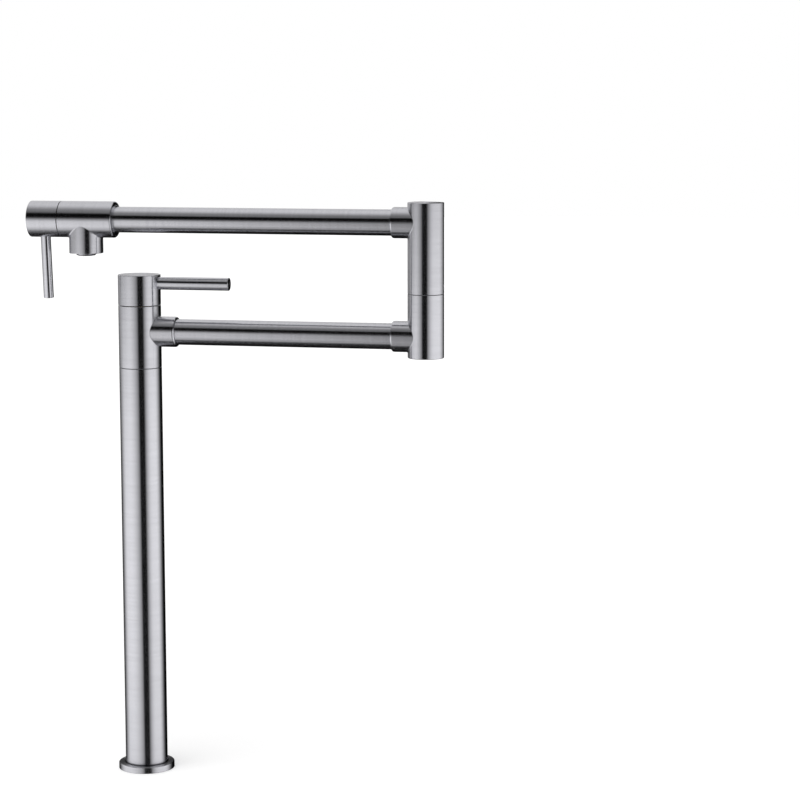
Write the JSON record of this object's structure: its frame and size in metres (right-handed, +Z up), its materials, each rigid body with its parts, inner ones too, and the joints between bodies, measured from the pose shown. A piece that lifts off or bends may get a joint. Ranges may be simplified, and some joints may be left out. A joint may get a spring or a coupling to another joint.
{
  "type": "pot filler",
  "caption": "Deck-mounted pot filler with a tall column, two swinging arms joined by an elbow, a downward outlet and a quarter-turn lever valve at each end.",
  "frame": {"origin": "on the column's axis, in the plane of the base flange's underside, which is the worktop's top face", "axes": "+Z up along the column; +X from the column towards the elbow, along the lower arm at rest; the upper arm lies above it and runs back along -X at rest"},
  "size_m": [0.3957, 0.053, 0.5953],
  "materials": {
    "brushed_nickel": "satin",
    "raw_brass": "satin",
    "black_rubber": "matte",
    "ceramic_disc": "satin",
    "grey_nylon": "matte",
    "dark_steel": "satin",
    "copper_pipe": "satin",
    "screen_steel": "satin"
  },
  "bodies": {
    "column": {"base_flange": "brushed_nickel", "deck_gasket": "black_rubber", "column_foot": "raw_brass", "threaded_shank": "raw_brass", "shank_seal": "black_rubber", "column_tube": "brushed_nickel", "riser_pipe": "copper_pipe", "column_spigot": "raw_brass", "column_o_rings": "black_rubber", "head_bearing_ring": "grey_nylon"},
    "lower_arm": {"head_body": "brushed_nickel", "head_set_screw": "dark_steel", "column_seat_seal": "black_rubber", "column_fixed_disc": "ceramic_disc", "column_cartridge": "raw_brass", "lower_arm_tube": "brushed_nickel", "elbow_lower_body": "brushed_nickel", "elbow_spigot": "raw_brass", "elbow_o_rings": "black_rubber", "elbow_bearing_ring": "grey_nylon"},
    "column_handle": {"column_cap": "brushed_nickel", "column_lever": "brushed_nickel", "column_spindle": "raw_brass", "column_moving_disc": "ceramic_disc", "column_spindle_o_rings": "black_rubber", "column_spindle_clip": "dark_steel"},
    "upper_arm": {"elbow_upper_body": "brushed_nickel", "elbow_set_screw": "dark_steel", "upper_arm_tube": "brushed_nickel", "spout_body": "brushed_nickel", "spout_bush": "brushed_nickel", "spout_seat_seal": "black_rubber", "spout_fixed_disc": "ceramic_disc", "spout_cartridge": "raw_brass", "aerator_housing": "brushed_nickel", "aerator_screen": "screen_steel", "aerator_flow_disc": "grey_nylon", "aerator_seal": "black_rubber"},
    "spout_handle": {"spout_cap": "brushed_nickel", "spout_lever": "brushed_nickel", "spout_spindle": "raw_brass", "spout_moving_disc": "ceramic_disc", "spout_spindle_o_rings": "black_rubber", "spout_spindle_clip": "dark_steel"},
    "deck_nut": {"mounting_nut": "grey_nylon"}
  },
  "joints": [
    {"name": "head_swivel", "type": "hinge", "parent": "column", "child": "lower_arm", "pos_m": [0, 0, 0.397], "axis": [0, 0, 1], "continuous": true},
    {"name": "column_lever_turn", "type": "hinge", "parent": "lower_arm", "child": "column_handle", "pos_m": [0, 0, 0.44], "axis": [0, 0, 1], "range_deg": [0, 90]},
    {"name": "elbow_swivel", "type": "hinge", "parent": "lower_arm", "child": "upper_arm", "pos_m": [0.274, 0, 0.473], "axis": [0, 0, 1], "continuous": true},
    {"name": "spout_lever_turn", "type": "hinge", "parent": "upper_arm", "child": "spout_handle", "pos_m": [-0.0746, 0, 0.5255], "axis": [-1, 0, 0], "range_deg": [0, 90]},
    {"name": "deck_nut_travel", "type": "slide", "parent": "column", "child": "deck_nut", "axis": [0, 0, 1], "range_m": [-0.008, 0.024]}
  ]
}
